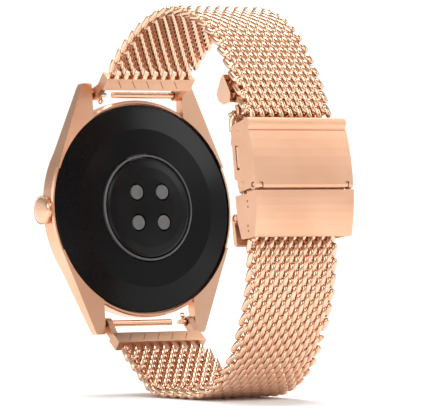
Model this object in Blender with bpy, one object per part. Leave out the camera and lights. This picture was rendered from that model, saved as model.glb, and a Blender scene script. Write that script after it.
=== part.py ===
"""A smartwatch standing on its closed mesh strap: case, crown, quick-release spring bars, two strap
halves and a two-plate clasp with a fold-over cover.

All sizes below are in millimetres and degrees; the mesh builders turn them into metres.
The row frame has +Z up, the display facing -Y, the case back and the clasp facing +Y and the crown
at +X. The design frame inside it has its origin at the middle of the case's back rim.
"""

import math

import bmesh
import bpy
from mathutils import Vector

MM = 0.001
SMOOTH_ANGLE = math.radians(32)
CLEARANCE = 0.3

# Placing of the design frame in the row frame
ROW_SHIFT_X = -0.7
ROW_SHIFT_Y = -20.87
ROW_LIFT = 33.7
CASE_TILT = 5.9

# Case
CASE_R = 20.0
CASE_WALL_FRONT = -3.0
CASE_FRONT_Y = -3.7
CASE_BORE_R = 18.3
BACK_SEAT_R = 19.45
BACK_SEAT_Y = -1.4
BEZEL_FRONT_Y = -6.5
GLASS_R = 16.3
GLASS_FRONT_Y = -6.75
BACK_R = 19.15
BACK_SLOPE_R = 14.6
BACK_SLOPE_RISE = 1.1
LENS_SEAT_R = 10.0
LENS_SEAT_RISE = 1.45
LENS_R = 9.2
LENS_RISE = 2.55
WINDOW_SPACING = 5.6
WINDOW_R = 1.32

# Lugs and spring bars
LUG_GAP = 20.0
LUG_TIP_Z = 23.0
LUG_TIP_X = 12.2
LUG_BACK_Y = 0.35
LUG_TIP_THICK = 1.55
LUG_ROOT_THICK = 3.3
BAR_Z = 21.0
BAR_Y = -0.45
BAR_R = 0.6
BAR_PIN_R = 0.35
BAR_HOLE_R = 0.6
BAR_END_X = 11.2
LEVER_X = 7.7
RELEASE_TRAVEL = 1.4

# Crown
CROWN_R = 2.65
CROWN_Y = -2.1
CROWN_BACK_X = 20.35
CROWN_TOP_X = 21.4
STEM_R = 0.6
TUBE_R = 0.9

# Strap. The routes are the strap's outer face seen along X: a start point (y, z), a heading and
# arcs (length, turn).
STRAP_WIDTH = 19.4
STRAP_THICK = 2.0
UPPER_START = (-0.39, 22.76)
UPPER_HEADING = 54.8
UPPER_ARCS = [(19.3, -30.9), (23.8, -68.2), (18.2, -28.0)]
FLOOR_Z = -33.7
FLAT_FROM_Y = 17.85
FLAT_TO_Y = 28.0
RISE_ARCS = [(16.0, 57.0), (16.9, 27.1), (4.5, 10.9), (8.0, 12.0), (17.6, -4.0)]
RETURN_ARCS = [(3.9, -37.2), (13.9, 0.0)]
END_PLATE = 2.7
TAIL_CAP = 5.2

# Clasp, in its own frame: origin in the frame's side arms, n outwards, s up along the strap
CLASP_PIN = (45.7, 4.6)
CLASP_TILT = 8.0
CLASP_HALF = 10.6
WALL = 0.7
PLATE = 0.8
COVER_TOP = (3.3, 11.3)
SEAM = (4.26, -1.5)
SLIDER_FOOT = (2.5, -9.5)
COVER_PIN = (3.36, -0.48)
COVER_PIN_R = 0.35
KNUCKLE_R = 0.88
WALL_EDGE_N = -1.9
ARM_IN = 9.05
ARM_OUT = 9.6
HOOK_BAR = (0.4, 9.0)
PIN_R = 0.4
LOCK_PIN = (-2.95, -5.6)

# Colours (linear RGB), roughness, metallic
ROSE_GOLD = ((0.80, 0.50, 0.36), 0.28, 1.0)
DARK_STEEL = ((0.32, 0.25, 0.22), 0.35, 1.0)
BLACK_CERAMIC = ((0.012, 0.012, 0.013), 0.12, 0.0)
BLACK_GLASS = ((0.006, 0.006, 0.008), 0.03, 0.0)
SENSOR_GREY = ((0.19, 0.19, 0.19), 0.3, 0.0)
TRIM_GREY = ((0.15, 0.15, 0.15), 0.2, 1.0)
BOARD_GREEN = ((0.02, 0.12, 0.06), 0.5, 0.0)
FOIL = ((0.45, 0.45, 0.46), 0.35, 1.0)
COPPER = ((0.75, 0.32, 0.16), 0.3, 1.0)
SEAL_BLACK = ((0.02, 0.02, 0.02), 0.8, 0.0)


# ---------------------------------------------------------------- frames and materials

def clear_scene():
    for old in list(bpy.data.objects):
        bpy.data.objects.remove(old, do_unlink=True)


def make_empty(name, parent=None, place=(0, 0, 0), tilt=0.0):
    empty = bpy.data.objects.new(name, None)
    bpy.context.scene.collection.objects.link(empty)
    empty.location = Vector(place) * MM
    empty.rotation_euler = (math.radians(tilt), 0, 0)
    empty.parent = parent
    return empty


def make_material(name, finish):
    colour, roughness, metallic = finish
    material = bpy.data.materials.new(name)
    material.use_nodes = True
    shader = material.node_tree.nodes["Principled BSDF"]
    shader.inputs["Base Color"].default_value = (*colour, 1.0)
    shader.inputs["Roughness"].default_value = roughness
    shader.inputs["Metallic"].default_value = metallic
    return material


def add_object(name, shape, finish, parent, place=(0, 0, 0)):
    """Makes one object from (points in mm, faces), its normals turned outwards."""
    points, faces = shape
    mesh = bpy.data.meshes.new(name)
    mesh.from_pydata([[c * MM for c in p] for p in points], [], faces)
    work = bmesh.new()
    work.from_mesh(mesh)
    bmesh.ops.recalc_face_normals(work, faces=work.faces)
    work.to_mesh(mesh)
    work.free()
    mesh.shade_smooth()
    mesh.set_sharp_from_angle(angle=SMOOTH_ANGLE)
    obj = bpy.data.objects.new(name, mesh)
    bpy.context.scene.collection.objects.link(obj)
    if finish:
        mesh.materials.append(make_material(name, finish))
    obj.parent = parent
    obj.location = Vector(place) * MM
    return obj


def boolean(obj, shape, operation, parent, solver):
    """Adds or cuts a shape, which stays in the scene as a hidden guide."""
    tool = add_object(f"{obj.name}_{operation.lower()}_{len(obj.modifiers)}", shape, None, parent)
    tool.hide_render = True
    tool.display_type = "WIRE"
    step = obj.modifiers.new(operation.title(), "BOOLEAN")
    step.operation = operation
    step.solver = solver
    step.object = tool


def cut(obj, shape, solver="EXACT"):
    boolean(obj, shape, "DIFFERENCE", obj.parent, solver)


def join(obj, shape, solver="EXACT"):
    boolean(obj, shape, "UNION", obj.parent, solver)


# ---------------------------------------------------------------- shape builders

def turned(profile, steps=48, axis="Y", centre=(0, 0, 0)):
    """A closed profile of (radius, height) turned about an axis. Points at radius 0 become poles."""
    points = []
    rings = []
    for radius, height in profile:
        if radius == 0:
            rings.append([len(points)])
            points.append(to_axis(0, 0, height, axis, centre))
            continue
        rings.append([len(points) + i for i in range(steps)])
        for i in range(steps):
            turn = math.tau * i / steps
            points.append(to_axis(radius * math.cos(turn), radius * math.sin(turn), height, axis, centre))
    faces = []
    for first, second in zip(rings, rings[1:] + rings[:1]):
        if len(first) == 1 and len(second) == 1:
            continue
        for i in range(steps):
            j = (i + 1) % steps
            corners = [first[i % len(first)], first[j % len(first)]]
            corners += [second[j % len(second)], second[i % len(second)]]
            faces.append(list(dict.fromkeys(corners)))
    return points, faces


def to_axis(a, b, height, axis, centre):
    """Places a turned point: height along the axis, a and b across it."""
    spots = {"X": (height, a, b), "Y": (a, height, b), "Z": (a, b, height)}
    return tuple(p + c for p, c in zip(spots[axis], centre))


def rod(radius, low, high, axis="X", centre=(0, 0, 0), steps=20):
    return turned([(0, low), (radius, low), (radius, high), (0, high)], steps, axis, centre)


def ball(radius, centre, steps=16, rings=8):
    arc = [math.pi * i / rings for i in range(rings + 1)]
    profile = [(radius * math.sin(a), -radius * math.cos(a)) for a in arc]
    profile[0] = (0, -radius)
    profile[-1] = (0, radius)
    return turned(profile, steps, "X", centre)


def prism(outline, low, high, axis="X"):
    """An outline extruded from low to high. For axis X the outline is (y, z); for Y it is (x, z)."""
    count = len(outline)
    place = {"X": lambda a, b, h: (h, a, b), "Y": lambda a, b, h: (a, h, b)}[axis]
    points = [place(a, b, low) for a, b in outline] + [place(a, b, high) for a, b in outline]
    faces = [list(range(count)), list(range(count, 2 * count))]
    for i in range(count):
        j = (i + 1) % count
        faces.append([i, j, count + j, count + i])
    return points, faces


def box(low, high):
    (x0, y0, z0), (x1, y1, z1) = low, high
    return prism([(y0, z0), (y1, z0), (y1, z1), (y0, z1)], x0, x1)


def arc_points(centre, radius, start, end, count):
    """Points on a circle from one angle to another, in degrees."""
    turns = [math.radians(start + (end - start) * i / count) for i in range(count + 1)]
    return [(centre[0] + radius * math.cos(t), centre[1] + radius * math.sin(t)) for t in turns]


def bulged(a, b, rise, count=6):
    """Points from a to b with a slight outward curve of the given rise at the middle."""
    a, b = Vector(a), Vector(b)
    out = Vector((abs(b.y - a.y), 0)).normalized()
    shares = [i / count for i in range(count + 1)]
    return [tuple(a.lerp(b, s) + out * rise * 4 * s * (1 - s)) for s in shares]


def strip_outline(line, thickness):
    """A closed outline between an open line and its copy shifted to the line's right."""
    shifted = []
    for i, (a, b) in enumerate(line):
        before = line[max(i - 1, 0)]
        after = line[min(i + 1, len(line) - 1)]
        run = Vector((after[0] - before[0], after[1] - before[1])).normalized()
        shifted.append((a + run.y * thickness, b - run.x * thickness))
    return line + shifted[::-1]


def walk(start, heading, arcs, step=1.6):
    """Follows arcs of (length, turn) and returns stations (y, z, heading in radians)."""
    a, b = start
    angle = math.radians(heading)
    stations = [(a, b, angle)]
    for length, turn in arcs:
        pieces = max(1, round(length / step))
        bend = math.radians(turn) / pieces
        chord = length / pieces
        for _ in range(pieces):
            a += chord * math.cos(angle + bend / 2)
            b += chord * math.sin(angle + bend / 2)
            angle += bend
            stations.append((a, b, angle))
    return stations


def trimmed(stations, start=0.0, end=0.0):
    """Drops a length of the route at its start and at its end."""
    line = list(stations)
    for length, side in ((start, 0), (end, -1)):
        while length > 1e-9:
            here = line[side]
            following = line[1] if side == 0 else line[-2]
            gap = math.dist(here[:2], following[:2])
            if gap <= length + 0.2:
                line.pop(side)
                length -= gap
                continue
            share = length / gap
            line[side] = tuple(h + (f - h) * share for h, f in zip(here, following))
            length = 0.0
    return line


def ribbon(stations, inner_side, offset=0.0, thickness=STRAP_THICK):
    """The outline of a strip whose outer face follows the stations. inner_side is 1 where the
    inside of the loop is to the right of the way the route runs, -1 where it is to the left."""
    outer = []
    inner = []
    for y, z, angle in stations:
        across = (math.sin(angle) * inner_side, -math.cos(angle) * inner_side)
        outer.append((y + across[0] * offset, z + across[1] * offset))
        depth = offset + thickness
        inner.append((y + across[0] * depth, z + across[1] * depth))
    return outer + inner[::-1]


def rounded_strap(name, outline, half_width, parent):
    """A strip extruded across X, with its two long side faces narrowed to look rounded."""
    return add_object(name, prism(outline, -half_width, half_width), ROSE_GOLD, parent)


# ---------------------------------------------------------------- case

def lug_shape(side, end):
    """One lug: straight inner flank, outer flank tangent to the case, front face rising to the tip."""
    reach = math.hypot(LUG_TIP_X, LUG_TIP_Z)
    touch = math.atan2(LUG_TIP_Z, LUG_TIP_X) - math.acos(CASE_R / reach)
    root = (0.997 * CASE_R * math.cos(touch), 0.997 * CASE_R * math.sin(touch))
    inside = (CASE_R - 2.4) / CASE_R
    flank_root_z = math.sqrt(inside * CASE_R * inside * CASE_R - (LUG_GAP / 2) ** 2)
    plan = [(LUG_GAP / 2, flank_root_z), (LUG_GAP / 2, LUG_TIP_Z - 0.25), (LUG_GAP / 2 + 0.25, LUG_TIP_Z)]
    plan += [(LUG_TIP_X - 0.35, LUG_TIP_Z), (LUG_TIP_X, LUG_TIP_Z - 0.4)]
    plan += [root, (root[0] * inside, root[1] * inside)]
    points = []
    for x, z in plan:
        points.append((x * side, LUG_BACK_Y, z * end))
    for x, z in plan:
        share = (LUG_TIP_Z - z) / (LUG_TIP_Z - root[1])
        thick = LUG_TIP_THICK + (LUG_ROOT_THICK - LUG_TIP_THICK) * share
        points.append((x * side, LUG_BACK_Y - thick, z * end))
    count = len(plan)
    faces = [list(range(count)), list(range(count, 2 * count))]
    faces += [[i, (i + 1) % count, count + (i + 1) % count, count + i] for i in range(count)]
    return points, faces


def add_case(frame):
    rim = [(0, 0), (CASE_R - 0.25, 0), (CASE_R, -0.3), (CASE_R, CASE_WALL_FRONT)]
    rim += [(CASE_R - 0.5, CASE_FRONT_Y), (0, CASE_FRONT_Y)]
    case = add_object("case_body", turned(rim, 96), ROSE_GOLD, frame)
    for side in (1, -1):
        for end in (1, -1):
            join(case, lug_shape(side, end), "MANIFOLD")
    bore = [(0, CASE_FRONT_Y - 1), (CASE_BORE_R, CASE_FRONT_Y - 1), (CASE_BORE_R, BACK_SEAT_Y)]
    bore += [(BACK_SEAT_R, BACK_SEAT_Y), (BACK_SEAT_R, 2), (0, 2)]
    cut(case, turned(bore, 96), "MANIFOLD")
    cut(case, rod(TUBE_R + CLEARANCE, CASE_BORE_R - 1, CASE_R + 1, "X", (0, CROWN_Y, 0)), "MANIFOLD")
    for end in (1, -1):
        for side in (1, -1):
            low, high = sorted((side * (LUG_GAP / 2 - 0.5), side * (BAR_END_X + CLEARANCE)))
            cut(case, rod(BAR_HOLE_R, low, high, "X", (0, BAR_Y, end * BAR_Z), 16), "MANIFOLD")


def add_front(frame):
    low = CASE_FRONT_Y - CLEARANCE
    ring = [(19.3, low), (17.7, BEZEL_FRONT_Y), (17.3, BEZEL_FRONT_Y - 0.15), (16.6, BEZEL_FRONT_Y - 0.15)]
    ring += [(16.6, -5.5), (17.6, -5.5), (17.6, low)]
    add_object("front_bezel", turned(ring, 96), ROSE_GOLD, frame)
    glass = [(0, -5.85), (GLASS_R, -5.85), (GLASS_R, GLASS_FRONT_Y + 0.2)]
    glass += [(GLASS_R - 0.2, GLASS_FRONT_Y), (0, GLASS_FRONT_Y)]
    add_object("display_glass", turned(glass, 72), BLACK_GLASS, frame)
    panel = [(0, -5.55 + 0.9), (16.2, -5.55 + 0.9), (16.2, -5.55), (0, -5.55)]
    add_object("display_panel", turned(panel, 48), BLACK_GLASS, frame)


def dome(radius, edge, top, steps=5):
    """Points of a shallow dome from its edge to its pole."""
    turns = [math.pi / 2 * i / steps for i in range(steps + 1)]
    line = [(radius * math.cos(t), edge + (top - edge) * math.sin(t)) for t in turns]
    line[-1] = (0, top)
    return line


def window_spots():
    half = WINDOW_SPACING / 2
    return [(half, half), (-half, half), (-half, -half), (half, -half)]


def add_back(frame):
    seat = BACK_SEAT_Y + CLEARANCE
    cover = [(BACK_R, seat), (BACK_R, -0.15), (BACK_R - 0.15, 0.0)]
    cover += [(BACK_SLOPE_R, BACK_SLOPE_RISE), (LENS_SEAT_R, LENS_SEAT_RISE)]
    cover += [(LENS_SEAT_R, LENS_SEAT_RISE - 0.9), (BACK_SLOPE_R, 0.1), (BACK_R - 1.2, seat)]
    add_object("back_cover", turned(cover, 96), BLACK_CERAMIC, frame)
    ring = [(LENS_R + 0.2, 0.7), (LENS_R + 0.55, 0.7), (LENS_R + 0.55, LENS_SEAT_RISE + 0.3)]
    ring += [(LENS_R + 0.4, LENS_SEAT_RISE + 0.4), (LENS_R + 0.2, LENS_SEAT_RISE + 0.4)]
    add_object("sensor_ring", turned(ring, 72), TRIM_GREY, frame)
    edge = LENS_SEAT_RISE + 0.3
    lens = [(0, 0.9), (LENS_R - 0.1, 0.9)] + dome(LENS_R - 0.1, edge, LENS_RISE)
    body = add_object("sensor_lens", turned(lens, 72), BLACK_GLASS, frame)
    for number, (x, z) in enumerate(window_spots(), 1):
        cut(body, rod(WINDOW_R + CLEARANCE, 0.5, 3, "Y", (x, 0, z), 24))
        flush = edge + (LENS_RISE - edge) * math.sqrt(1 - (math.hypot(x, z) / LENS_R) ** 2)
        pane = rod(WINDOW_R, 0.9, flush, "Y", (x, 0, z), 24)
        add_object(f"sensor_window_{number}", pane, SENSOR_GREY, frame)
    add_object("sensor_board", rod(6.2, 0.1, 0.6, "Y", (0, 0, 0), 32), BOARD_GREEN, frame)
    coil = [(6.9, 0.05), (9.0, 0.05), (9.0, 0.4), (6.9, 0.4)]
    add_object("charging_coil", turned(coil, 48), COPPER, frame)
    seal = [(18.6, seat - 0.05), (19.1, seat - 0.05), (19.1, seat - 0.25), (18.6, seat - 0.25)]
    add_object("back_seal", turned(seal, 72), SEAL_BLACK, frame)


def add_insides(frame):
    add_object("main_board", rod(17.2, -4.3, -3.7, "Y", (0, 0, 0), 40), BOARD_GREEN, frame)
    add_object("battery", box((-12.5, -3.3, -8), (9.5, -1.0, 8)), FOIL, frame)
    add_object("vibration_motor", rod(4.0, -3.3, -1.2, "Y", (0, 0, 12.6), 28), FOIL, frame)
    add_object("speaker", box((-6, -3.3, -15.2), (6, -1.3, -9)), SEAL_BLACK, frame)
    add_object("push_switch", box((14.0, -3.3, -1.5), (15.9, -0.8, 1.5)), FOIL, frame)


# ---------------------------------------------------------------- crown and spring bars

def add_crown(frame):
    middle = (0, CROWN_Y, 0)
    low, high = BACK_R + 0.1, CASE_R - 0.1
    sleeve = [(STEM_R + 0.12, low), (TUBE_R, low), (TUBE_R, high), (STEM_R + 0.12, high)]
    add_object("crown_tube", turned(sleeve, 24, "X", middle), DARK_STEEL, frame)
    stem = [(0, 16.2), (STEM_R, 16.2), (STEM_R, CROWN_BACK_X + 0.1), (0, CROWN_BACK_X + 0.1)]
    add_object("crown_stem", turned(stem, 24, "X", middle), DARK_STEEL, frame)
    band = CROWN_BACK_X + 0.55
    cap = [(0.95, CROWN_BACK_X), (CROWN_R - 0.15, CROWN_BACK_X), (CROWN_R, CROWN_BACK_X + 0.12)]
    cap += [(CROWN_R, band), (CROWN_R - 0.12, band + 0.06), (CROWN_R - 0.25, band + 0.02)]
    turns = [math.pi / 2 * i / 5 for i in range(6)]
    top = CROWN_TOP_X - band
    cap += [((CROWN_R - 0.3) * math.cos(t), band + 0.02 + (top - 0.02) * math.sin(t)) for t in turns[:-1]]
    cap += [(0, CROWN_TOP_X), (0, CROWN_BACK_X + 0.4), (0.95, CROWN_BACK_X + 0.4)]
    add_object("crown_cap", turned(cap, 48, "X", middle), ROSE_GOLD, frame)


def add_spring_bar(frame, name, end, side):
    """A tube across the lugs with one fixed pin, and a sliding release pin with its lever."""
    axis = (0, BAR_Y, end * BAR_Z)
    lug_face = LUG_GAP / 2
    tube_end = 5.0
    bar = [(0, -BAR_END_X), (BAR_PIN_R, -BAR_END_X), (BAR_PIN_R, 0.3 - lug_face), (BAR_R, 0.3 - lug_face)]
    bar += [(BAR_R, tube_end), (0, tube_end)]
    bar = [(r, h * side) for r, h in bar]
    add_object(f"spring_bar_{name}", turned(bar, 24, "X", axis), DARK_STEEL, frame)
    pin_from = tube_end + RELEASE_TRAVEL + 0.2
    pin = [(0, pin_from), (BAR_R - 0.15, pin_from), (BAR_R - 0.15, lug_face - 0.3)]
    pin += [(BAR_PIN_R, lug_face - 0.3), (BAR_PIN_R, BAR_END_X), (0, BAR_END_X)]
    pin = [(r, h * side) for r, h in pin]
    release = add_object(f"release_pin_{name}", turned(pin, 20, "X", axis), ROSE_GOLD, frame)
    knob_z = end * (BAR_Z - 1.25)
    neck = [(BAR_Y - 0.22, end * BAR_Z), (BAR_Y + 0.22, end * BAR_Z), (BAR_Y + 0.22, knob_z)]
    neck += [(BAR_Y - 0.22, knob_z)]
    join(release, prism(neck, side * LEVER_X - 0.25, side * LEVER_X + 0.25))
    join(release, ball(0.52, (side * LEVER_X, BAR_Y, knob_z)))


def bar_in_design_frame(end):
    """The spring bar's axis (y, z) after the case's tilt."""
    turn = math.radians(CASE_TILT)
    y = BAR_Y * math.cos(turn) - end * BAR_Z * math.sin(turn)
    z = BAR_Y * math.sin(turn) + end * BAR_Z * math.cos(turn)
    return y, z


# ---------------------------------------------------------------- strap

def hull(points):
    """The convex outline round some points."""
    ordered = sorted(points)
    chains = []
    for line in (ordered, ordered[::-1]):
        chain = []
        for p in line:
            while len(chain) > 1 and turn_of(chain[-2], chain[-1], p) <= 0:
                chain.pop()
            chain.append(p)
        chains += chain[:-1]
    return chains


def turn_of(a, b, c):
    return (b[0] - a[0]) * (c[1] - a[1]) - (b[1] - a[1]) * (c[0] - a[0])


def add_strap_end(name, plate_outline, bar, parent):
    """The end fitting: a plate across the strap with two knuckles round the spring bar."""
    half = STRAP_WIDTH / 2
    fitting = add_object(name, prism(plate_outline, -half, half), ROSE_GOLD, parent)
    outer, inner = Vector(plate_outline[0]), Vector(plate_outline[-1])
    run = (Vector(plate_outline[1]) - outer).normalized()
    across = (inner - outer).normalized() * 0.35
    roots = [tuple(outer + run * 0.6 + across), tuple(inner + run * 0.6 - across)]
    knuckle = hull(arc_points(bar, BAR_R + 0.42, 0, 342, 19) + roots)
    for side in (1, -1):
        low, high = sorted((side * 8.5, side * (half - 0.1)))
        join(fitting, prism(knuckle, low, high))
        cut(fitting, rod(BAR_R + 0.16, low - 0.3, high + 0.3, "X", (0, *bar), 24))
    return fitting


def add_upper_strap(watch):
    route = walk(UPPER_START, UPPER_HEADING, UPPER_ARCS)
    half = STRAP_WIDTH / 2
    plate = trimmed(route, end=sum(a[0] for a in UPPER_ARCS) - END_PLATE)
    add_strap_end("strap_upper_end", ribbon(plate, 1), bar_in_design_frame(1), watch)
    body = trimmed(route, start=END_PLATE + CLEARANCE)
    rounded_strap("strap_upper_mesh", ribbon(body, 1), half, watch)
    y, z, angle = route[-1]
    run = Vector((math.cos(angle), math.sin(angle)))
    across = Vector((run.y, -run.x))
    first = Vector((y, z)) + run * CLEARANCE
    hook = [(0, 0), (3.4, 0.0), (3.7, 0.3), (3.4, 0.65), (0.9, 0.65), (0.5, 1.0), (0.5, 2.0), (0, 2.0)]
    outline = [tuple(first + run * a + across * b) for a, b in hook]
    add_object("strap_upper_hook", prism(outline, -8.6, 8.6), ROSE_GOLD, watch)


def add_lower_strap(watch):
    rise = walk((FLAT_TO_Y, FLOOR_Z), 0, RISE_ARCS)
    back = walk((FLAT_FROM_Y, FLOOR_Z), 180, RETURN_ARCS)
    half = STRAP_WIDTH / 2
    flat = [(FLAT_FROM_Y + (FLAT_TO_Y - FLAT_FROM_Y) * i / 6, FLOOR_Z, 0.0) for i in range(1, 6)]
    turned_back = [(y, z, angle - math.pi) for y, z, angle in back[::-1]]
    route = turned_back + flat + rise
    body = trimmed(route, start=END_PLATE + CLEARANCE)
    rounded_strap("strap_lower_mesh", ribbon(body, -1), half, watch)
    plate = trimmed(turned_back, end=sum(a[0] for a in RETURN_ARCS) - END_PLATE)
    add_strap_end("strap_lower_end", ribbon(plate, -1), bar_in_design_frame(-1), watch)
    y, z, angle = route[-1]
    run = Vector((math.cos(angle), math.sin(angle)))
    across = Vector((-run.y, run.x))
    first = Vector((y, z)) + run * CLEARANCE
    cap = [(0, 0), (1.6, -0.45), (TAIL_CAP, 0.9), (TAIL_CAP - 0.4, 1.7), (2.4, 3.6), (1.0, 3.3), (0, 2.0)]
    outline = [tuple(first + run * a + across * b) for a, b in cap]
    add_object("strap_tail_cap", prism(outline, -half, half), ROSE_GOLD, watch)


# ---------------------------------------------------------------- clasp

def wall_pair(obj, outline, solver="EXACT"):
    """Joins the two side walls of a folded sheet to it."""
    for side in (1, -1):
        low, high = sorted((side * (CLASP_HALF - WALL), side * CLASP_HALF))
        join(obj, prism(outline, low, high), solver)


def add_cover(frame):
    """The fold-over cover: a plate with a thumb lip and a rolled hinge edge, and two side walls."""
    (top_n, top_s), (seam_n, seam_s) = COVER_TOP, SEAM
    pin_n, pin_s = COVER_PIN
    foot = (seam_n - 0.02, pin_s + 0.2)
    lean = Vector((top_n - seam_n, top_s - seam_s)).normalized()
    groove = Vector((seam_n - 0.02, seam_s + CLEARANCE)) + lean * 10.3
    lip_centre = groove + lean * 1.35
    outer = bulged(foot, groove, 0.3) + [tuple(groove + Vector((-0.3, 0.12)))]
    outer += arc_points((lip_centre.x - 0.75, lip_centre.y), 1.05, -38, 100, 8)
    inner = [(top_n - 0.95, top_s - 0.3), (groove.x - PLATE, groove.y - 0.1)]
    inner += [(foot[0] - PLATE, pin_s + 1.4)]
    inner += arc_points(COVER_PIN, KNUCKLE_R, 130, 355, 12)
    half = CLASP_HALF
    cover = add_object("clasp_cover", prism(outer + inner, -half, half), ROSE_GOLD, frame)
    wall = [(foot[0] - 0.3, foot[1]), (groove.x - 0.4, groove.y), (top_n - 1.5, top_s - 0.2)]
    wall += [(WALL_EDGE_N, 10.4), (WALL_EDGE_N, 1.2)]
    wall += arc_points((0, 0), 1.2, 150, 280, 7)
    wall += arc_points(COVER_PIN, KNUCKLE_R - 0.08, 215, 340, 6)
    wall_pair(cover, wall, "MANIFOLD")
    cut(cover, rod(COVER_PIN_R + 0.17, -half - 1, half + 1, "X", (0, *COVER_PIN), 24), "MANIFOLD")
    cut(cover, box((-half - 1, -1.0, 2.6), (half + 1, -0.2, 6.9)), "MANIFOLD")
    for low, high in ((-ARM_OUT - 0.1, -ARM_IN + 0.1), (ARM_IN - 0.1, ARM_OUT + 0.1)):
        cut(cover, rod(KNUCKLE_R + 0.1, low, high, "X", (0, *COVER_PIN), 20), "MANIFOLD")


def add_slider(frame):
    """The slider's outer shell: a short tapered plate folded into two side walls."""
    (seam_n, seam_s), (foot_n, foot_s) = SEAM, SLIDER_FOOT
    half = CLASP_HALF
    plate = bulged(SEAM, (foot_n + 0.15, foot_s + 0.2), 0.25) + [(foot_n - 0.15, foot_s)]
    plate += [(foot_n - PLATE, foot_s), (seam_n - PLATE, seam_s)]
    shell = add_object("slider_shell", prism(plate, -half, half), ROSE_GOLD, frame)
    wall = [(seam_n - 0.4, seam_s), (foot_n - 0.4, foot_s), (-1.3, foot_s), (-2.1, -6.0), (-2.1, -1.8)]
    wall += [(0.9, -1.8)]
    wall_pair(shell, wall)
    return shell


def add_clasp_frame(frame):
    """The inner frame: a floor over the long strap and two arms that hold the pins."""
    floor = [(1.0, -9.0), (1.0, -1.6), (0.45, 0.9), (0.45, 5.8), (-0.2, 5.8), (-0.2, 0.7), (0.35, -1.8)]
    floor += [(0.35, -9.0)]
    body = add_object("clasp_frame", prism(floor, -ARM_OUT, ARM_OUT), ROSE_GOLD, frame)
    arm = [(1.0, -3.5)] + arc_points(COVER_PIN, 0.75, -130, 110, 8) + [(1.8, 1.2), (1.6, 9.0)]
    arm += arc_points(HOOK_BAR, 0.95, 0, 180, 8)
    arm += [(-0.5, 0.6), (0.1, -1.8), (0.35, -3.5)]
    for side in (1, -1):
        low, high = sorted((side * ARM_IN, side * ARM_OUT))
        join(body, prism(arm, low, high))
    reach = ARM_OUT + 1
    cut(body, rod(COVER_PIN_R + 0.1, -reach, reach, "X", (0, *COVER_PIN), 16))
    cut(body, rod(PIN_R + 0.2, -reach, reach, "X", (0, *HOOK_BAR), 16))


def add_lock_plate(frame):
    """The inner lock plate: hinged at its top, with a tooth that presses on the strap."""
    pin_n, pin_s = LOCK_PIN
    plate = [(-3.1, -10.6), (-2.75, -10.3), (-3.0, -6.6)] + arc_points(LOCK_PIN, 0.75, -60, 180, 8)
    plate += [(-3.8, -6.4), (-3.75, -10.2)]
    half = CLASP_HALF
    body = add_object("lock_plate", prism(plate, -half, half), ROSE_GOLD, frame)
    cut(body, rod(PIN_R + 0.15, -half - 1, half + 1, "X", (0, pin_n, pin_s), 16))


def add_clasp_pins(frame):
    pins = {
        "cover_hinge_pin": (COVER_PIN, COVER_PIN_R, CLASP_HALF - 0.15),
        "hook_bar": (HOOK_BAR, PIN_R, 9.7),
        "lock_hinge_pin": (LOCK_PIN, PIN_R, CLASP_HALF - 0.15),
    }
    for name, (spot, radius, reach) in pins.items():
        add_object(name, rod(radius, -reach, reach, "X", (0, *spot), 16), DARK_STEEL, frame)


# ---------------------------------------------------------------- whole watch

def main():
    clear_scene()
    watch = make_empty("watch_frame", None, (ROW_SHIFT_X, ROW_SHIFT_Y, ROW_LIFT))
    case = make_empty("case_axis", watch, (0, 0, 0), CASE_TILT)
    clasp = make_empty("clasp_axis", watch, (0, *CLASP_PIN), CLASP_TILT)
    add_case(case)
    add_front(case)
    add_back(case)
    add_insides(case)
    add_crown(case)
    add_spring_bar(case, "upper", 1, 1)
    add_spring_bar(case, "lower", -1, -1)
    add_upper_strap(watch)
    add_lower_strap(watch)
    add_cover(clasp)
    add_slider(clasp)
    add_clasp_frame(clasp)
    add_lock_plate(clasp)
    add_clasp_pins(clasp)


main()
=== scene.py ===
"""The looks of the smartwatch: woven wire strap, plated metal, glossy back and soft studio light."""

import math

import bmesh
import bpy
import numpy as np
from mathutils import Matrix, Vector


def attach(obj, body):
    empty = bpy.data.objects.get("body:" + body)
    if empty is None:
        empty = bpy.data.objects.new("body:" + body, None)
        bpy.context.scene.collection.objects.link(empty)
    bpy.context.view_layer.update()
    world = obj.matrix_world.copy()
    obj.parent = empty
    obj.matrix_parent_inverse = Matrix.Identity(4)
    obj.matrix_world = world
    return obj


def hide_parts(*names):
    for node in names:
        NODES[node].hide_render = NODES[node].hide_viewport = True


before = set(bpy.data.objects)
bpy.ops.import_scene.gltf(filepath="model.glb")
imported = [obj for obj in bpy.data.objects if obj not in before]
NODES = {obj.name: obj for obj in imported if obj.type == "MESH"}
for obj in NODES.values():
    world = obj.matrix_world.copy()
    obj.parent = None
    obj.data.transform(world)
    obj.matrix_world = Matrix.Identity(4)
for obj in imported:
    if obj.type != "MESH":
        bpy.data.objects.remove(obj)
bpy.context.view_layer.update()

# Unless a comment says metres, sizes are in millimetres in the design frame, whose origin is
# the middle of the case back's rim; ROW places that frame in the row frame.
MM = 0.001
ROW = Vector((-0.7, -20.87, 33.7))
CLASP_TILT = math.radians(8.0)
CLASP_PIN = (45.7, 4.6)
CLASP_HALF = 10.6

STRAP_THICK = 2.0
UPPER_START = (-0.39, 22.76)
UPPER_HEADING = 54.8
UPPER_ARCS = [(19.3, -30.9), (23.8, -68.2), (18.2, -28.0)]
FLOOR_Z = -33.7
FLAT_FROM_Y = 17.85
FLAT_TO_Y = 28.0
RISE_ARCS = [(16.0, 57.0), (16.9, 27.1), (4.5, 10.9), (8.0, 12.0), (17.6, -4.0)]
RETURN_ARCS = [(3.9, -37.2), (13.9, 0.0)]
END_PLATE = 2.7
END_GAP = 0.3
ROUTE_STEP = 0.35

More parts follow.
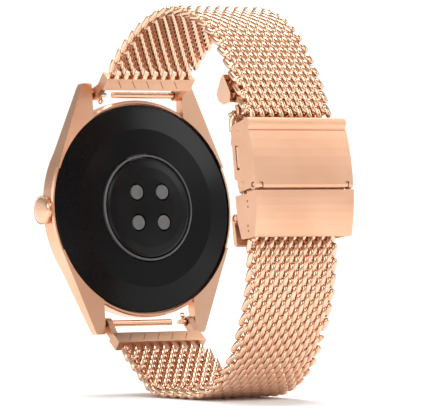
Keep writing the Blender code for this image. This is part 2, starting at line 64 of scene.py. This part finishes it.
# Weave: one flattened spiral per row, each row linked to the next at alternate edges
ROW_PITCH = 1.38
COIL_TURNS = 8.5
EDGE_X = 8.78
WIRE_R = 0.5
COIL_ALONG = 1.18
COIL_DEEP = 0.52
COIL_LEAN = 0.14
EDGE_BULGE = 0.4
EDGE_SWELL = 0.55
EDGE_STEPS = 12
FLAT_FACE = 0.96
COIL_STEPS = 18
WIRE_SIDES = 8


# ---------------------------------------------------------------- materials

def node_material(name, colour, roughness, metallic):
    """A Principled material, returned with its node tree and shader so that detail can be added."""
    material = bpy.data.materials.new(name)
    material.use_nodes = True
    tree = material.node_tree
    shader = tree.nodes["Principled BSDF"]
    shader.inputs["Base Color"].default_value = (*colour, 1.0)
    shader.inputs["Roughness"].default_value = roughness
    shader.inputs["Metallic"].default_value = metallic
    return material, tree, shader


def add_noise(tree, scale, stretch=(1, 1, 1), detail=4.0):
    """Noise over object coordinates, stretched for brushed grain."""
    place = tree.nodes.new("ShaderNodeTexCoord")
    mapping = tree.nodes.new("ShaderNodeMapping")
    mapping.inputs["Scale"].default_value = stretch
    noise = tree.nodes.new("ShaderNodeTexNoise")
    noise.inputs["Scale"].default_value = scale
    noise.inputs["Detail"].default_value = detail
    tree.links.new(place.outputs["Object"], mapping.inputs["Vector"])
    tree.links.new(mapping.outputs["Vector"], noise.inputs["Vector"])
    return noise.outputs["Fac"]


def ramp(tree, factor, stops):
    """A colour ramp with stops of (position, colour)."""
    node = tree.nodes.new("ShaderNodeValToRGB")
    while len(node.color_ramp.elements) < len(stops):
        node.color_ramp.elements.new(0.5)
    for element, (position, colour) in zip(node.color_ramp.elements, stops):
        element.position = position
        element.color = (*colour, 1.0)
    tree.links.new(factor, node.inputs["Fac"])
    return node.outputs["Color"]


def vary_roughness(tree, shader, factor, low, high):
    """Lets the factor move the roughness between low and high."""
    spread = tree.nodes.new("ShaderNodeMapRange")
    spread.inputs["To Min"].default_value = low
    spread.inputs["To Max"].default_value = high
    tree.links.new(factor, spread.inputs["Value"])
    tree.links.new(spread.outputs["Result"], shader.inputs["Roughness"])


def add_bump(tree, shader, factor, strength, distance):
    """Lets the factor raise the surface, for shading only."""
    bump = tree.nodes.new("ShaderNodeBump")
    bump.inputs["Strength"].default_value = strength
    bump.inputs["Distance"].default_value = distance
    tree.links.new(factor, bump.inputs["Height"])
    tree.links.new(bump.outputs["Normal"], shader.inputs["Normal"])


ROSE = (0.78, 0.475, 0.32)
ROSE_DEEP = (0.71, 0.405, 0.26)
ROSE_PALE = (0.81, 0.515, 0.36)
# painted shade: the strap ends' band colours are the rose plating made about a fifth darker
SHADED_BAND_PALE = (0.62, 0.37, 0.24)
SHADED_BAND_DEEP = (0.55, 0.31, 0.195)
TONE_SCALE = 90.0
GRAIN_DEPTH = 0.00002  # metres
BLACK_SPECULAR = 0.13


def metal(name, pale, deep, rough, grain_scale, stretch, grain=0.15):
    """Plated metal: slightly uneven colour, and a grain that shows in gloss and bump."""
    material, tree, shader = node_material(name, pale, rough[0], 1.0)
    tone = add_noise(tree, TONE_SCALE, detail=2.0)
    colour = ramp(tree, tone, [(0.3, deep), (0.7, pale)])
    tree.links.new(colour, shader.inputs["Base Color"])
    lines = add_noise(tree, grain_scale, stretch, detail=3.0)
    vary_roughness(tree, shader, lines, rough[0], rough[1])
    add_bump(tree, shader, lines, grain, GRAIN_DEPTH)
    return material


def back_material():
    """Glossy black back with a fine speck in its tone and gloss."""
    material, tree, shader = node_material("glossy_black_back", (0.012, 0.012, 0.013), 0.16, 0.0)
    speck = add_noise(tree, 4000.0, detail=2.0)
    colour = ramp(tree, speck, [(0.35, (0.0025, 0.0025, 0.003)), (0.7, (0.004, 0.004, 0.0045))])
    tree.links.new(colour, shader.inputs["Base Color"])
    shader.inputs["Specular IOR Level"].default_value = BLACK_SPECULAR
    vary_roughness(tree, shader, speck, 0.20, 0.28)
    return material


def lens_material():
    """Black lens, a little less dark than the back."""
    material, tree, shader = node_material("sensor_lens_glass", (0.014, 0.014, 0.015), 0.08, 0.0)
    cloud = add_noise(tree, 160.0)
    colour = ramp(tree, cloud, [(0.3, (0.004, 0.004, 0.0045)), (0.7, (0.008, 0.008, 0.0085))])
    tree.links.new(colour, shader.inputs["Base Color"])
    shader.inputs["Specular IOR Level"].default_value = BLACK_SPECULAR
    vary_roughness(tree, shader, cloud, 0.22, 0.30)
    return material


def plain_detail(name, pale, deep, rough, metallic, scale):
    """A non-plated surface with a fine uneven tone."""
    material, tree, shader = node_material(name, pale, rough, metallic)
    tone = add_noise(tree, scale)
    tree.links.new(ramp(tree, tone, [(0.35, deep), (0.65, pale)]), shader.inputs["Base Color"])
    vary_roughness(tree, shader, tone, rough * 0.85, rough * 1.15)
    return material


MATERIALS = {
    "wire": metal("rose_wire", ROSE_PALE, ROSE, (0.17, 0.27), 2600.0, (1, 1, 1), 0.06),
    "brushed": metal("rose_brushed", ROSE, ROSE_DEEP, (0.36, 0.54), 900.0, (0.02, 1, 1), 0.35),
    "satin": metal("rose_satin", ROSE, ROSE_DEEP, (0.27, 0.36), 3000.0, (1, 1, 1), 0.12),
    "band": metal("rose_band_painted_shade", SHADED_BAND_PALE, SHADED_BAND_DEEP, (0.3, 0.4), 3000.0, (1, 1, 1), 0.1),
    "polished": metal("rose_polished", ROSE_PALE, ROSE, (0.13, 0.2), 1500.0, (1, 1, 1), 0.04),
    "steel": metal("turned_steel", ROSE, ROSE_DEEP, (0.2, 0.3), 1500.0, (1, 0.1, 0.1), 0.1),
    # painted shade: a dark colour for the strap-end marks and the slider pips, standing in for the shade
    # inside grooves and dimples
    "painted_shade": plain_detail("painted_recess_shade", (0.22, 0.11, 0.06), (0.15, 0.07, 0.04), 0.5, 0.8, 900.0),
    "back": back_material(),
    "lens": lens_material(),
    "window": plain_detail("sensor_grey", (0.12, 0.12, 0.12), (0.095, 0.095, 0.095), 0.35, 0.0, 900.0),
    "trim": plain_detail("trim_ring", (0.10, 0.10, 0.10), (0.08, 0.08, 0.08), 0.45, 0.4, 1500.0),
    "glass": plain_detail("cover_glass", (0.006, 0.006, 0.008), (0.004, 0.004, 0.005), 0.04, 0.0, 50.0),
    "board": plain_detail("circuit_board", (0.02, 0.13, 0.07), (0.01, 0.07, 0.04), 0.5, 0.0, 700.0),
    "foil": plain_detail("foil_wrap", (0.45, 0.45, 0.46), (0.35, 0.35, 0.36), 0.35, 1.0, 500.0),
    "copper": plain_detail("coil_copper", (0.75, 0.32, 0.16), (0.6, 0.24, 0.12), 0.3, 1.0, 1500.0),
    "seal": plain_detail("seal_rubber", (0.02, 0.02, 0.02), (0.012, 0.012, 0.012), 0.8, 0.0, 900.0),
}

NODE_LOOKS = {
    "satin": ["case_body", "front_bezel", "clasp_frame"],
    # the strap ends take the darker copy of the rose plating, as painted shade
    "band": ["strap_upper_end", "strap_lower_end"],
    "brushed": ["clasp_cover", "slider_shell", "lock_plate"],
    "polished": ["crown_cap", "strap_tail_cap", "strap_upper_hook", "release_pin_upper",
                 "release_pin_lower"],
    "steel": ["crown_tube", "crown_stem", "spring_bar_upper", "spring_bar_lower", "cover_hinge_pin",
              "hook_bar", "lock_hinge_pin"],
    "back": ["back_cover"],
    "lens": ["sensor_lens"],
    "window": ["sensor_window_1", "sensor_window_2", "sensor_window_3", "sensor_window_4"],
    "trim": ["sensor_ring"],
    "glass": ["display_glass", "display_panel"],
    "board": ["main_board", "sensor_board"],
    "foil": ["battery", "vibration_motor", "push_switch"],
    "copper": ["charging_coil"],
    "seal": ["back_seal", "speaker"],
}
EDGE_ROUNDING = {
    "clasp_cover": 0.16, "slider_shell": 0.16, "lock_plate": 0.12, "strap_tail_cap": 0.3,
    "strap_upper_end": 0.12, "strap_lower_end": 0.12, "case_body": 0.09, "clasp_frame": 0.08,
}
ROUNDED_ABOVE = math.radians(38)
ROUNDING_SEGMENTS = 3


def paint_nodes():
    """Gives every CAD node that is kept its material, and some metal edges a small rounding."""
    for look, names in NODE_LOOKS.items():
        for name in names:
            node = NODES[name]
            node.data.materials.clear()
            node.data.materials.append(MATERIALS[look])
    for name, width in EDGE_ROUNDING.items():
        rounding = NODES[name].modifiers.new("edge_rounding", "BEVEL")
        rounding.width = width * MM
        rounding.segments = ROUNDING_SEGMENTS
        rounding.limit_method = "ANGLE"
        rounding.angle_limit = ROUNDED_ABOVE
        rounding.harden_normals = True
        NODES[name].data.shade_smooth()


# ---------------------------------------------------------------- strap route

def walk(start, heading, arcs):
    """Stations (y, z, angle, length so far) along arcs of (length, turn)."""
    a, b = start
    angle = math.radians(heading)
    stations = [(a, b, angle, 0.0)]
    for length, turn in arcs:
        pieces = max(1, round(length / ROUTE_STEP))
        bend = math.radians(turn) / pieces
        chord = length / pieces
        for _ in range(pieces):
            a += chord * math.cos(angle + bend / 2)
            b += chord * math.sin(angle + bend / 2)
            angle += bend
            stations.append((a, b, angle, stations[-1][3] + chord))
    return np.array(stations)


def upper_route():
    """The short half's stations from the case outward, and the sign of its inner side."""
    return walk(UPPER_START, UPPER_HEADING, UPPER_ARCS), 1


def lower_route():
    """The long half's stations from the case, along the floor and up; the sign of its inner side."""
    back = walk((FLAT_FROM_Y, FLOOR_Z), 180, RETURN_ARCS)[::-1]
    rise = walk((FLAT_TO_Y, FLOOR_Z), 0, RISE_ARCS)
    run = np.arange(ROUTE_STEP, FLAT_TO_Y - FLAT_FROM_Y, ROUTE_STEP)
    flat = np.stack([FLAT_FROM_Y + run, np.full_like(run, FLOOR_Z), np.zeros_like(run), run], 1)
    back[:, 2] -= math.pi
    line = np.concatenate([back, flat, rise])
    steps = np.hypot(*np.diff(line[:, :2], axis=0).T)
    line[:, 3] = np.concatenate([[0], np.cumsum(steps)])
    return line, -1


def to_row(x, y, z):
    """Design frame in mm to the row frame in metres, on numpy arrays."""
    return np.stack([(x + ROW.x) * MM, (y + ROW.y) * MM, (z + ROW.z) * MM], -1)


def place_on_route(route, inner_side, x, s, n):
    """x across, s along, n out of the strap's middle: places points in the row frame."""
    y = np.interp(s, route[:, 3], route[:, 0])
    z = np.interp(s, route[:, 3], route[:, 1])
    angle = np.interp(s, route[:, 3], route[:, 2])
    depth = (STRAP_THICK / 2 - n) * inner_side
    return to_row(x, y + np.sin(angle) * depth, z - np.cos(angle) * depth)


# ---------------------------------------------------------------- woven strap

def closed_piece(name, points, faces, look):
    """A new object from points and faces, its normals turned outward."""
    mesh = bpy.data.meshes.new(name)
    mesh.from_pydata(np.asarray(points, dtype=float).tolist(), [], faces)
    work = bmesh.new()
    work.from_mesh(mesh)
    bmesh.ops.recalc_face_normals(work, faces=work.faces)
    work.to_mesh(mesh)
    work.free()
    mesh.materials.append(MATERIALS[look])
    piece = bpy.data.objects.new(name, mesh)
    bpy.context.scene.collection.objects.link(piece)
    return piece


def weave_path(rows, first_s):
    """One snaking wire path (x, s, n) through the given rows, turning back at alternate edges."""
    steps = int(COIL_TURNS * COIL_STEPS)
    path = []
    for row in rows:
        share = np.linspace(0, 1, steps + 1)
        x = -EDGE_X + 2 * EDGE_X * share
        phase = 2 * np.pi * (COIL_TURNS * share + (0.75 if row % 2 else 0.25))
        s = first_s + row * ROW_PITCH + COIL_ALONG * np.cos(phase)
        n = COIL_DEEP * np.sin(phase)
        x = x + COIL_LEAN * np.cos(phase)
        line = np.stack([x, s, n], 1)
        if row % 2:
            line = line[::-1]
        if path:
            start, end = path[-1], line[0]
            side = 1.0 if start[0] > 0 else -1.0
            for t in np.linspace(0, 1, EDGE_STEPS)[1:-1]:
                ease = 0.5 - 0.5 * math.cos(math.pi * t)
                middle = start * (1 - ease) + end * ease
                middle[0] += side * EDGE_BULGE * math.sin(math.pi * t)
                middle[1] -= EDGE_SWELL * math.sin(2 * math.pi * t)
                path.append(middle)
        path.extend(line)
    return np.array(path)


def wire_mesh(name, path, route, inner_side):
    """A round wire along the path, its outer sides pressed flat as on a finished mesh strap."""
    tangent = np.gradient(path, axis=0)
    tangent /= np.linalg.norm(tangent, axis=1)[:, None]
    out = np.array([0.0, 0.0, 1.0])
    side = np.cross(tangent, out)
    side /= np.linalg.norm(side, axis=1)[:, None] + 1e-9
    up = np.cross(side, tangent)
    turns = 2 * np.pi * np.arange(WIRE_SIDES) / WIRE_SIDES
    ring = np.cos(turns)[None, :, None] * side[:, None] + np.sin(turns)[None, :, None] * up[:, None]
    points = path[:, None] + WIRE_R * ring
    points[..., 2] = np.clip(points[..., 2], -FLAT_FACE, FLAT_FACE)
    flat = points.reshape(-1, 3)
    placed = place_on_route(route, inner_side, flat[:, 0], flat[:, 1], flat[:, 2])
    last_ring = (len(path) - 1) * WIRE_SIDES
    here = np.arange(len(path) - 1)[:, None] * WIRE_SIDES
    ahead = here + WIRE_SIDES
    corner = np.arange(WIRE_SIDES)[None]
    beside = (corner + 1) % WIRE_SIDES
    quads = np.stack([here + corner, here + beside, ahead + beside, ahead + corner], -1)
    faces = quads.reshape(-1, 4).tolist()
    faces.append(list(range(WIRE_SIDES))[::-1])
    faces.append([last_ring + side_number for side_number in range(WIRE_SIDES)])
    piece = closed_piece(name, placed, faces, "wire")
    piece.data.shade_smooth()
    return piece


def weave_strap(name, route, inner_side, body, node, parts):
    """Fills one strap half with wire rows, in a few pieces, in place of its CAD band."""
    low = END_PLATE + END_GAP + COIL_ALONG
    high = route[-1, 3] - COIL_ALONG
    rows = int((high - low) / ROW_PITCH)
    shares = np.array_split(np.arange(rows + 1), parts)
    for number, share in enumerate(shares, 1):
        piece = wire_mesh(f"{name}_{number}", weave_path(share, low), route, inner_side)
        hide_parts(node)
        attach(piece, body)


# ---------------------------------------------------------------- small details

def add_piece(name, points, faces, look, body):
    """A small closed detail that rides a body."""
    piece = closed_piece(name, points, faces, look)
    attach(piece, body)


BOX_FACES = [(0, 1, 3, 2), (4, 6, 7, 5), (0, 4, 5, 1), (2, 3, 7, 6), (0, 2, 6, 4), (1, 5, 7, 3)]

# Marks on the strap ends: thin dark blocks of painted shade in place of engraved grooves, a hair proud
# of the inner face
MARK_COUNT = 5
MARK_FIRST_X = -6.6
MARK_SPACING = 3.1
MARK_WIDTH = 0.16
MARK_SLANT = 1.3
MARK_FROM_S = 0.55
MARK_TO_S = 2.25
MARK_PROUD = 0.012
MARK_SUNK = 0.05

# Clasp details: spots are (n, s) in the clasp's own frame, and studs are (radius, proud)
RIVET_SPOT = (0.05, 0.1)
RIVET = (0.5, 0.05)
COVER_PIP_SPOT = (0.2, 9.3)
COVER_PIP = (0.3, 0.04)
# the slider pips are nearly flush dark discs: painted shade for the dimples in the side wall
SLIDER_PIP = (0.2, 0.015)
SLIDER_PIP_SPOTS = ((1.3, -3.1), (1.35, -4.1), (0.9, -7.4), (0.95, -8.3))
SNAP_TAB_SPANS = ((-0.55, -0.1), (-0.85, -0.35), (3.0, 6.7))
STUD_SIDES = 20
STUD_ROOT = 0.1
STUD_SHOULDER = 0.6
STUD_TOP = 0.8


def engrave_band(name, route, inner_side, body):
    """Slanted marks across the inner face of a strap end: dark blocks of painted shade in place of
    engraved grooves.
    """
    points = []
    faces = []
    for number in range(MARK_COUNT):
        foot = MARK_FIRST_X + number * MARK_SPACING
        head = foot + MARK_SLANT
        for x, s in ((foot, MARK_FROM_S), (foot + MARK_WIDTH, MARK_FROM_S),
                     (head, MARK_TO_S), (head + MARK_WIDTH, MARK_TO_S)):
            for n in (-STRAP_THICK / 2 - MARK_PROUD, -STRAP_THICK / 2 + MARK_SUNK):
                spot = place_on_route(route, inner_side, np.array([x]), np.array([s]), np.array([n]))
                points.append(spot[0])
        faces += [tuple(8 * number + corner for corner in face) for face in BOX_FACES]
    add_piece(name, points, faces, "painted_shade", body)


def clasp_point(x, n, s):
    """The clasp's own frame to the row frame."""
    out = (math.cos(CLASP_TILT), math.sin(CLASP_TILT))
    y = CLASP_PIN[0] + n * out[0] - s * out[1]
    z = CLASP_PIN[1] + n * out[1] + s * out[0]
    return to_row(np.float64(x), np.float64(y), np.float64(z))


def stud(name, side, n, s, radius, proud, look, body, slot):
    """A round head on a clasp side wall."""
    points = []
    for x, r in ((CLASP_HALF - STUD_ROOT, radius), (CLASP_HALF + proud * STUD_SHOULDER, radius),
                 (CLASP_HALF + proud, radius * STUD_TOP)):
        for corner in range(STUD_SIDES):
            turn = 2 * math.pi * corner / STUD_SIDES
            points.append(clasp_point(side * x, n + r * math.cos(turn), s + r * math.sin(turn)))
    faces = []
    for low in (0, STUD_SIDES):
        high = low + STUD_SIDES
        for corner in range(STUD_SIDES):
            beside = (corner + 1) % STUD_SIDES
            faces.append((low + corner, low + beside, high + beside, high + corner))
    faces.append(tuple(range(STUD_SIDES)))
    faces.append(tuple(range(2 * STUD_SIDES, 3 * STUD_SIDES)))
    add_piece(name, points, faces, look, body)


def wall_block(name, side, spans, look, body):
    """A flat block on a clasp side wall; spans are the (low, high) of x beyond the wall, n and s."""
    (x0, x1), (n0, n1), (s0, s1) = spans
    points = [clasp_point(side * (CLASP_HALF + x), n, s) for x in (x0, x1) for n in (n0, n1)
              for s in (s0, s1)]
    add_piece(name, points, BOX_FACES, look, body)


def add_clasp_details():
    """The rivet, pips and snap tab on each side wall of the clasp; the slider pips are dark discs of
    painted shade in place of dimples.
    """
    for side, word in ((1, "right"), (-1, "left")):
        stud(f"cover_rivet_{word}", side, *RIVET_SPOT, *RIVET, "steel", "cover", "rose_gold_steel")
        stud(f"cover_pip_{word}", side, *COVER_PIP_SPOT, *COVER_PIP, "steel", "cover", "rose_gold_steel")
        for number, (n, s) in enumerate(SLIDER_PIP_SPOTS, 1):
            # slider pips: dark discs of painted shade where the side wall has dimples
            stud(f"slider_pip_{word}_{number}", side, n, s, *SLIDER_PIP, "painted_shade", "clasp", "dark_steel")
        wall_block(f"snap_tab_{word}", side, SNAP_TAB_SPANS, "polished", "cover")


# ---------------------------------------------------------------- camera, lights, floor

CAMERA_AZIMUTH = math.radians(144.61)
CAMERA_RISE = math.radians(0.54)
CAMERA_DISTANCE = 869.0
CAMERA_LENS = 403.6
AIM_RIGHT = 12.5
SENSOR_WIDTH = 36.0

# Lights: name: (place in metres, (width, height) in metres, watts)
LIGHTS = {
    "key": ((0.30, 0.45, 0.42), (0.35, 0.35), 1.6),
    "side": ((0.62, 0.10, 0.10), (0.16, 0.5), 1.2),
    "rim": ((-0.40, 0.25, 0.30), (0.25, 0.3), 0.8),
}
LIGHTS_AIM = (0.0, 0.0, 0.035)
SUN_POWER = 3.2
SUN_WIDTH = math.radians(40)
SUN_FROM = (-0.22, -0.32, 1.0)

# Surroundings: (position, brightness) from behind the watch to the camera's side, and upward
DEPTH_STOPS = [(0.0, 1.08), (0.32, 1.08), (0.6, 0.72), (1.0, 0.68)]
RISE_STOPS = [(0.0, 1.0), (0.06, 1.0), (0.3, 0.42), (0.9, 0.5)]
FLOOR_SIZE = 6.0  # metres
FLOOR_DROP = 0.0001  # metres


def make_camera():
    """The camera fitted to the photo's viewing angle."""
    back = Vector((math.sin(CAMERA_AZIMUTH) * math.cos(CAMERA_RISE),
                   -math.cos(CAMERA_AZIMUTH) * math.cos(CAMERA_RISE), math.sin(CAMERA_RISE)))
    right = Vector((0, 0, 1)).cross(back).normalized()
    aim = ROW + right * AIM_RIGHT
    data = bpy.data.cameras.new("camera")
    data.lens = CAMERA_LENS
    data.sensor_width = SENSOR_WIDTH
    data.clip_start = 0.01
    camera = bpy.data.objects.new("camera", data)
    camera.location = (aim + back * CAMERA_DISTANCE) * MM
    camera.rotation_euler = back.to_track_quat("Z", "Y").to_euler()
    bpy.context.scene.collection.objects.link(camera)
    bpy.context.scene.camera = camera


def add_light(name, spot, size, power):
    """A rectangular softbox turned towards the watch."""
    data = bpy.data.lights.new(name, "AREA")
    data.shape = "RECTANGLE"
    data.size, data.size_y = size
    data.energy = power
    light = bpy.data.objects.new(name, data)
    light.location = spot
    light.rotation_euler = (Vector(spot) - Vector(LIGHTS_AIM)).to_track_quat("Z", "Y").to_euler()
    bpy.context.scene.collection.objects.link(light)


def add_sun():
    """A wide soft sun, in place of an overhead softbox, that lights the floor evenly."""
    data = bpy.data.lights.new("overhead", "SUN")
    data.energy = SUN_POWER
    data.angle = SUN_WIDTH
    light = bpy.data.objects.new("overhead", data)
    light.rotation_euler = Vector(SUN_FROM).to_track_quat("Z", "Y").to_euler()
    bpy.context.scene.collection.objects.link(light)


def grey(stops):
    """Ramp stops of (position, brightness) as greys."""
    return [(position, (level, level, level)) for position, level in stops]


def make_world():
    """White backdrop behind the watch, a darker room on the camera's side and overhead."""
    world = bpy.data.worlds.new("studio")
    bpy.context.scene.world = world
    world.use_nodes = True
    tree = world.node_tree
    ground = tree.nodes["Background"]
    place = tree.nodes.new("ShaderNodeTexCoord")
    split = tree.nodes.new("ShaderNodeSeparateXYZ")
    tree.links.new(place.outputs["Generated"], split.inputs["Vector"])
    spread = tree.nodes.new("ShaderNodeMapRange")
    spread.inputs["From Min"].default_value = -1.0
    tree.links.new(split.outputs["Y"], spread.inputs["Value"])
    depth = ramp(tree, spread.outputs["Result"], grey(DEPTH_STOPS))
    rise = ramp(tree, split.outputs["Z"], grey(RISE_STOPS))
    both = tree.nodes.new("ShaderNodeMix")
    both.data_type = "RGBA"
    both.blend_type = "MULTIPLY"
    sockets = {socket.identifier: socket for socket in both.inputs}
    sockets["Factor_Float"].default_value = 1.0
    tree.links.new(depth, sockets["A_Color"])
    tree.links.new(rise, sockets["B_Color"])
    result = next(socket for socket in both.outputs if socket.identifier == "Result_Color")
    tree.links.new(result, ground.inputs["Color"])
    ground.inputs["Strength"].default_value = 1.0


def make_studio():
    """The surroundings, the lights and the paper floor."""
    make_world()
    for name, (spot, size, power) in LIGHTS.items():
        add_light(name, spot, size, power)
    add_sun()
    bpy.ops.mesh.primitive_plane_add(size=FLOOR_SIZE, location=(0, 0, -FLOOR_DROP))
    floor = bpy.context.object
    floor.name = "floor"
    material, tree, shader = node_material("floor_paper", (0.93, 0.93, 0.93), 0.8, 0.0)
    tone = add_noise(tree, 3.0)
    tree.links.new(ramp(tree, tone, grey([(0.3, 0.92), (0.7, 0.94)])), shader.inputs["Base Color"])
    floor.data.materials.append(material)
    bpy.context.scene.view_settings.view_transform = "Standard"


make_camera()
make_studio()
paint_nodes()
upper, upper_side = upper_route()
weave_strap("upper_weave", upper, upper_side, "strap_upper", "strap_upper_mesh", 1)
lower, lower_side = lower_route()
weave_strap("lower_weave", lower, lower_side, "strap_lower", "strap_lower_mesh", 2)
engrave_band("upper_band_marks", upper, upper_side, "strap_upper")
engrave_band("lower_band_marks", lower, lower_side, "strap_lower")
add_clasp_details()
